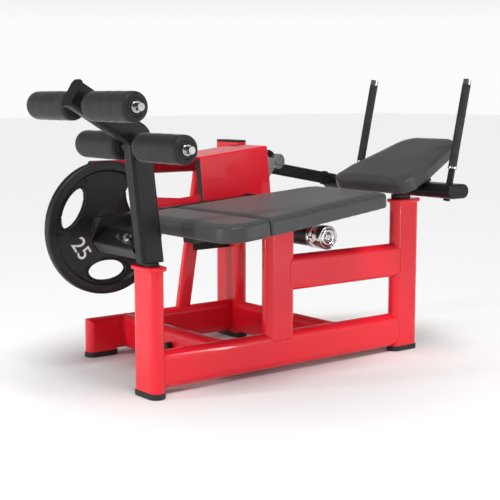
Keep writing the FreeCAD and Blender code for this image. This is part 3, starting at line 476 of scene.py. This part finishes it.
def foam_outline(radius, half):
    """Half a roller's foam in section, end to end, as (reach, along) pairs."""
    outline = [(reach, depth - half) for reach, depth in FOAM_END]
    for step in range(EDGE_STEPS + 1):
        turn = math.radians(90 * step / EDGE_STEPS)
        outline.append((radius - FOAM_EDGE + FOAM_EDGE * math.sin(turn),
                        -half + FOAM_EDGE - FOAM_EDGE * math.cos(turn)))
    other_end = [(reach, -along) for reach, along in reversed(outline)]
    for step in range(1, LENGTH_STEPS):
        share = step / LENGTH_STEPS
        swell = FOAM_SWELL * math.sin(math.pi * share) + FOAM_UNEVEN * math.sin(share * WAVE_RADIANS)
        outline.append((radius + swell, -half + FOAM_EDGE + 2 * (half - FOAM_EDGE) * share))
    return outline + other_end


def build_rollers():
    """Foam rollers with rounded ends, each with a sunk cap at both ends."""
    for level, side in ROLLERS:
        node = "%s_%s_roller" % (level, side)
        low, high = corners(node)
        axis = (low + high) / 2
        half = (high.y - low.y) / 2 - FOAM_SHORT
        shape = lathe(foam_outline((high.x - low.x) / 2, half), axis, steps=72)
        roller = piece(node + "_foam", from_bmesh(node, shape), FOAM, node)
        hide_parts(node)
        for label, end in (("near", -1), ("far", 1)):
            face = axis + Vector((0, end * (half - CAP_SUNK), 0))
            shape = lathe(END_CAP, face, steps=48, axis=Vector((0, end, 0)))
            piece("%s_end_cap_%s" % (node, label), from_bmesh(node, shape), RUBBER, node)


# ---------------------------------------------------------------- chromed pieces

NUT_RADIUS, NUT_TALL = 0.0125, 0.016
WASHER_RADIUS, WASHER_THICK, WASHER_EDGE = 0.0165, 0.003, 0.001
FLAT_SHARE = 0.85            # a nut is round inside this share of its radius and hexagonal outside it
WASHER_BORE = 0.4            # the washer's bore as a share of the nut's radius
# A nut from its foot over its chamfer to its sunk middle: shares of its radius and of its height.
NUT_OUTLINE = [(0.97, 0), (1, 0.06), (1, 0.82), (0.88, 0.97), (0.8, 1), (0.35, 1), (0.3, 0.9)]


def hex_nut(name, place, axis, like):
    """A chamfered hexagonal nut on a washer, standing on a face."""
    outline = [(0.003, 0)]
    outline += [(NUT_RADIUS * reach, NUT_TALL * up) for reach, up in NUT_OUTLINE]
    outline += [(0.002, NUT_TALL * NUT_OUTLINE[-1][1])]
    foot = place + axis * WASHER_THICK
    shape = lathe(outline, foot, steps=36, axis=axis, sides=(6, NUT_RADIUS * FLAT_SHARE))
    piece(name, from_bmesh(name, shape), CHROME, like, smooth=False)
    bore = NUT_RADIUS * WASHER_BORE
    washer = [(bore, 0), (WASHER_RADIUS - WASHER_EDGE, 0), (WASHER_RADIUS, WASHER_EDGE),
              (WASHER_RADIUS, WASHER_THICK - WASHER_EDGE), (WASHER_RADIUS - WASHER_EDGE, WASHER_THICK),
              (bore, WASHER_THICK)]
    piece(name + "_washer", from_bmesh(name, lathe(washer, place, steps=40, axis=axis)), CHROME, like)


GROOVE_FROM_END, GROOVE_WIDE, GROOVE_DEEP = 0.012, 0.004, 0.0012
# The middle of the counterweight's face: (reach, how deep it lies).
HUB_FACE = [(0.004, 0.0025), (0.006, 0.0010), (0.0135, 0.0010), (0.0145, 0.0035), (0.016, 0.0035),
            (0.017, 0.0010)]
# Its outer part: (in from the edge, how deep it lies).
RIM_FACE = [(0.011, 0.0010), (0.0095, 0.0035), (0.0075, 0.0035), (0.006, 0.0), (0.003, 0.0),
            (0.0009, 0.0009), (0, 0.003)]


def build_counterweight():
    """The chromed counterweight, turned with rings on its faces and a groove round it."""
    low, high = corners("counterweight")
    centre, radius, half = (low + high) / 2, (high.x - low.x) / 2, (high.y - low.y) / 2
    face = HUB_FACE + [(radius - inset, depth) for inset, depth in RIM_FACE]
    groove_end = half - GROOVE_FROM_END
    groove_start = groove_end - GROOVE_WIDE
    outline = [(reach, depth - half) for reach, depth in face]
    outline += [(radius, groove_start), (radius - GROOVE_DEEP, groove_start + GROOVE_DEEP),
                (radius - GROOVE_DEEP, groove_end - GROOVE_DEEP), (radius, groove_end)]
    outline += [(reach, half - depth) for reach, depth in reversed(face)]
    mesh = from_bmesh("counterweight", lathe(outline, centre, steps=96))
    made = piece("counterweight_chrome", mesh, CHROME, "counterweight")
    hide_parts("counterweight")


def build_fasteners():
    """Hexagonal nuts on washers at the ends of the roller axles."""
    for level, side in ROLLERS:
        end = -1 if side == "near" else 1
        low, high = corners("%s_%s_roller" % (level, side))
        face = Vector(((low.x + high.x) / 2, low.y if end < 0 else high.y, (low.z + high.z) / 2))
        hex_nut("%s_%s_nut" % (level, side), face, Vector((0, end, 0)), "axle_nuts")


# ---------------------------------------------------------------- weight plate

HAND_HOLES = (30, 150, 270)  # degrees from +X towards +Z
HOLE_REACH, HOLE_HALF_LONG, HOLE_HALF_WIDE = 0.144, 0.076, 0.037
WEB_DEEP = 0.009             # how far the plate's web lies behind its rim
LIP_RADIUS, LIP_OUTSIDE = 0.0042, 0.001
RING_INSETS, RING_RADIUS, RING_SUNK = (0.012, 0.027), 0.0014, 0.0008
JOINT_TURN = 34              # degrees from the middle of a hand hole to the rim's moulded joints beside it
JOINT_RADIUS = 0.0013
# A moulded joint from the web up over the rim: (in from the plate's edge, behind the rim's face).
JOINT_LINE = [(0.052, 0.0095), (0.048, 0.0005), (0.009, 0.0005)]
# Text, its degrees round the plate and its height.
NUMERALS = (("25", 213, 0.074), ("kg", 327, 0.036))
BOTTOM = 270                 # text leans with its place on the plate, and would be upright here
NUMERAL_REACH, NUMERAL_SUNK, NUMERAL_HALF_THICK, NUMERAL_BEVEL = 0.12, 0.0085, 0.0008, 0.0003


def build_plate_details():
    """Raised lips round the hand holes, rings and joints on the rim, and a generic number in kilograms."""
    low, high = corners("weight_plate")
    centre = (low + high) / 2
    radius = (high.x - low.x) / 2
    hand_hole_lips(centre, low.y, high.y)
    rim_rings(centre, radius, low.y, high.y)
    rim_joints(centre, radius, low.y)
    numerals(centre, low.y)


def on_plate(centre, turn, reach, depth):
    """The point this far out from the plate's middle at an angle, with its Y."""
    return Vector((centre.x + reach * math.cos(turn), depth, centre.z + reach * math.sin(turn)))


def hand_hole_lips(centre, near, far):
    """A bead round each oval hand hole on both faces of the web."""
    for number, angle in enumerate(HAND_HOLES):
        outward = Vector((math.cos(math.radians(angle)), 0, math.sin(math.radians(angle))))
        around = Vector((-outward.z, 0, outward.x))
        for label, depth in (("front", near + WEB_DEEP), ("back", far - WEB_DEEP)):
            loop = []
            for turn in turns(72):
                spot = centre + outward * (HOLE_REACH + (HOLE_HALF_WIDE + LIP_OUTSIDE) * math.cos(turn))
                spot += around * ((HOLE_HALF_LONG + LIP_OUTSIDE) * math.sin(turn))
                loop.append(Vector((spot.x, depth, spot.z)))
            mesh = from_bmesh("lip", tube(loop, LIP_RADIUS, sides=10))
            piece("plate_lip_%s_%d" % (label, number), mesh, PLATE, "weight_plate")


def rim_rings(centre, radius, near, far):
    """Two thin rings on each face of the rim."""
    for label, depth in (("front", near + RING_SUNK), ("back", far - RING_SUNK)):
        for inset in RING_INSETS:
            loop = [on_plate(centre, turn, radius - inset, depth) for turn in turns(120)]
            mesh = from_bmesh("ring", tube(loop, RING_RADIUS))
            piece("plate_ring_%s_%d" % (label, inset / MM), mesh, PLATE, "weight_plate")


def rim_joints(centre, radius, near):
    """The short moulded lines across the rim, one at each end of every hand hole."""
    for angle in HAND_HOLES:
        for side in (-JOINT_TURN, JOINT_TURN):
            turn = math.radians(angle + side)
            line = [on_plate(centre, turn, radius - inset, near + depth) for inset, depth in JOINT_LINE]
            mesh = from_bmesh("joint", tube(line, JOINT_RADIUS, closed=False))
            piece("plate_joint_%d" % ((angle + side) % 360), mesh, PLATE, "weight_plate")


def numerals(centre, near):
    """Raised generic text on the web of the near face."""
    for text, angle, tall in NUMERALS:
        curve = bpy.data.curves.new("number", "FONT")
        curve.body = text
        curve.size = tall
        curve.extrude = NUMERAL_HALF_THICK
        curve.bevel_depth = NUMERAL_BEVEL
        curve.align_x = "CENTER"
        curve.align_y = "CENTER"
        holder = bpy.data.objects.new("number", curve)
        scene.collection.objects.link(holder)
        bpy.context.view_layer.update()
        mesh = bpy.data.meshes.new_from_object(holder.evaluated_get(bpy.context.evaluated_depsgraph_get()))
        bpy.data.objects.remove(holder)
        turn = math.radians(angle)
        place = on_plate(centre, turn, NUMERAL_REACH, near + NUMERAL_SUNK)
        lean = Matrix.Rotation(-(turn - math.radians(BOTTOM)), 4, "Y")
        mesh.transform(Matrix.Translation(place) @ lean @ Matrix.Rotation(math.radians(90), 4, "X"))
        piece("plate_number_" + text, mesh, WHITE, "weight_plate", smooth=False)


# ---------------------------------------------------------------- welds

# Half of the frame tube's flat-oval section, in millimetres: its long side and its short side.
HALF_WIDE, HALF_DEEP = 60, 25
OUTLINE_STEPS = 96
BEAD_RADIUS, BEAD_RIPPLE = 0.0016, 0.1


def oval(share):
    """A point on the flat-oval tube's outline, share 0 to 1 of the way round: (long side, short side)."""
    straight = HALF_WIDE - HALF_DEEP
    bend = math.pi * HALF_DEEP
    run = share * (4 * straight + 2 * bend)
    for start, sign in ((0, 1), (2 * straight + bend, -1)):
        local = run - start
        if 0 <= local < 2 * straight:
            return sign * (local - straight), sign * -HALF_DEEP
        if 2 * straight <= local <= 2 * straight + bend:
            angle = (local - 2 * straight) / HALF_DEEP - math.pi / 2
            return (sign * (straight + HALF_DEEP * math.cos(angle)), sign * HALF_DEEP * math.sin(angle))
    return -straight, HALF_DEEP


def saddle(short):
    """How far the round side of a tube falls back at a distance from its middle."""
    return HALF_DEEP - math.sqrt(max(0, HALF_DEEP ** 2 - min(abs(short), HALF_DEEP) ** 2))


def rail_half(up):
    """The half width of a flat-oval rail at a height above its middle."""
    over = max(0, abs(up) - (HALF_WIDE - HALF_DEEP))
    return math.sqrt(max(0, HALF_DEEP ** 2 - min(over, HALF_DEEP) ** 2))


def build_welds():
    """Painted weld beads where the flat-oval tubes meet. Places are the design's millimetres."""
    outline = [oval(step / OUTLINE_STEPS) for step in range(OUTLINE_STEPS)]
    rail_z, upper_z = (middle(name).z / MM for name in ("main_rail", "upper_rail"))
    rear = (corners("rear_post")[0] - POST_AXIS).x / MM
    mid = (middle("mid_post") - POST_AXIS).x / MM
    side_y = (middle("side_rail") - POST_AXIS).y / MM
    corner = (middle("corner_post") - POST_AXIS).x / MM
    front_cross = (middle("front_cross_tube") - POST_AXIS).x / MM
    corner_low = (corners("corner_post")[0] - POST_AXIS).y / MM
    joints = {
        "front": [at(HALF_DEEP, b, rail_z + a) for a, b in outline],
        "rear": [at(rear + saddle(b), b, rail_z + a) for a, b in outline],
        "middle_foot": [at(mid + a, b, rail_z + HALF_WIDE - saddle(b)) for a, b in outline],
        "upper_front": [at(mid + HALF_WIDE - saddle(b), b, upper_z + a) for a, b in outline],
        "upper_rear": [at(rear + saddle(b), b, upper_z + a) for a, b in outline],
        "corner_rail": [at(corner - HALF_DEEP, side_y + b, rail_z + a) for a, b in outline],
        "cross_front": [at(front_cross + b, rail_half(a), rail_z + a) for a, b in outline],
        "cross_rear": [at(corner + b, rail_half(a), rail_z + a) for a, b in outline],
        "cross_front_end": [at(front_cross + b, side_y - rail_half(a), rail_z + a) for a, b in outline],
        "cross_rear_end": [at(corner + b, corner_low + saddle(b), rail_z + a) for a, b in outline],
    }
    for name, points in joints.items():
        mesh = from_bmesh("weld", tube(points, BEAD_RADIUS, ripple=BEAD_RIPPLE))
        piece("weld_" + name, mesh, WELD, "main_rail")


# ---------------------------------------------------------------- studio

FLOOR_HALF = 40
FLOOR_NEAR, FLOOR_FAR = (0.72, 0.72, 0.72), (0.97, 0.97, 0.97)
NEAR_UNTIL, FAR_FROM = 0.35, 0.95      # metres from the middle of the floor
FLOOR_GAP = 0.0005
HORIZON, OVERHEAD = 0.97, 0.16         # how bright the sky is, low and high
HORIZON_UP_TO, OVERHEAD_FROM = 0.06, 0.3
LIT_POINT = (0, 0, 0.45)
SUN_POWER, SUN_SPREAD, SUN_FROM = 2.7, 32, (-0.22, -0.42, 1)
# Name, place, width, height and power of each area light.
SOFT_LIGHTS = (("front_softbox", (-2.4, -3.0, 1.3), 1.2, 1.2, 6),
               ("left_strip", (-3.1, 0.75, 0.9), 0.16, 2.4, 42),
               ("right_strip", (1.75, -2.9, 0.9), 0.12, 2.4, 22))


def area_light(name, place, wide, tall, power):
    """A rectangular light turned towards the machine."""
    data = bpy.data.lights.new(name, "AREA")
    data.shape = "RECTANGLE"
    data.size = wide
    data.size_y = tall
    data.energy = power
    lamp = bpy.data.objects.new(name, data)
    lamp.location = place
    lamp.rotation_euler = (Vector(LIT_POINT) - Vector(place)).to_track_quat("-Z", "Y").to_euler()
    scene.collection.objects.link(lamp)


def build_floor():
    """A pale floor, a little darker under the machine, so that it throws less light up."""
    shape = bmesh.new()
    bmesh.ops.create_grid(shape, x_segments=2, y_segments=2, size=FLOOR_HALF)
    mesh = from_bmesh("floor", shape)
    look = Shader("studio_floor", Roughness=0.7)
    outwards = look.node("ShaderNodeVectorMath")
    outwards.operation = "LENGTH"
    look.link(look.coordinates, outwards.inputs[0])
    look.colour(outwards.outputs["Value"], FLOOR_NEAR, FLOOR_FAR, start=NEAR_UNTIL, end=FAR_FROM)
    mesh.materials.append(look.material)
    floor = bpy.data.objects.new("studio_floor", mesh)
    floor.location.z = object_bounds()[0][2] - FLOOR_GAP
    scene.collection.objects.link(floor)


def build_sky():
    """Bright at the horizon, where the camera looks, and dimmer overhead."""
    world = bpy.data.worlds.new("studio")
    world.use_nodes = True
    tree = world.node_tree
    split = tree.nodes.new("ShaderNodeSeparateXYZ")
    ramp = tree.nodes.new("ShaderNodeMapRange")
    for socket, value in (("From Min", HORIZON_UP_TO), ("From Max", OVERHEAD_FROM),
                          ("To Min", HORIZON), ("To Max", OVERHEAD)):
        ramp.inputs[socket].default_value = value
    tree.links.new(tree.nodes.new("ShaderNodeTexCoord").outputs["Generated"], split.inputs["Vector"])
    tree.links.new(split.outputs["Z"], ramp.inputs["Value"])
    tree.links.new(ramp.outputs["Result"], tree.nodes["Background"].inputs["Color"])
    scene.world = world


def build_lights():
    """A soft overhead sun, a softbox in front and an upright strip on each side."""
    sun = bpy.data.lights.new("overhead", "SUN")
    sun.energy = SUN_POWER
    sun.angle = math.radians(SUN_SPREAD)
    lamp = bpy.data.objects.new("overhead", sun)
    lamp.rotation_euler = Vector(SUN_FROM).to_track_quat("Z", "Y").to_euler()
    scene.collection.objects.link(lamp)
    for light in SOFT_LIGHTS:
        area_light(*light)
    scene.view_settings.view_transform = "Standard"


LENS, SENSOR = 83.035, 36
CAMERA_PLACE = (-1891.7, -2903.75, 917.08)     # the design's millimetres
LOOKS_DOWN, LOOKS_RIGHT = 7.651, 38.157        # degrees from level and from +Y


def build_camera():
    """A long lens that looks along the seat from the rollers' end."""
    data = bpy.data.cameras.new("camera")
    data.lens = LENS
    data.sensor_width = SENSOR
    camera = bpy.data.objects.new("camera", data)
    camera.location = at(*CAMERA_PLACE)
    camera.rotation_euler = (math.radians(90 - LOOKS_DOWN), 0, math.radians(-LOOKS_RIGHT))
    scene.collection.objects.link(camera)
    scene.camera = camera


dress_nodes()
build_pads()
build_rollers()
build_counterweight()
build_fasteners()
build_plate_details()
build_welds()
build_floor()
build_sky()
build_lights()
build_camera()
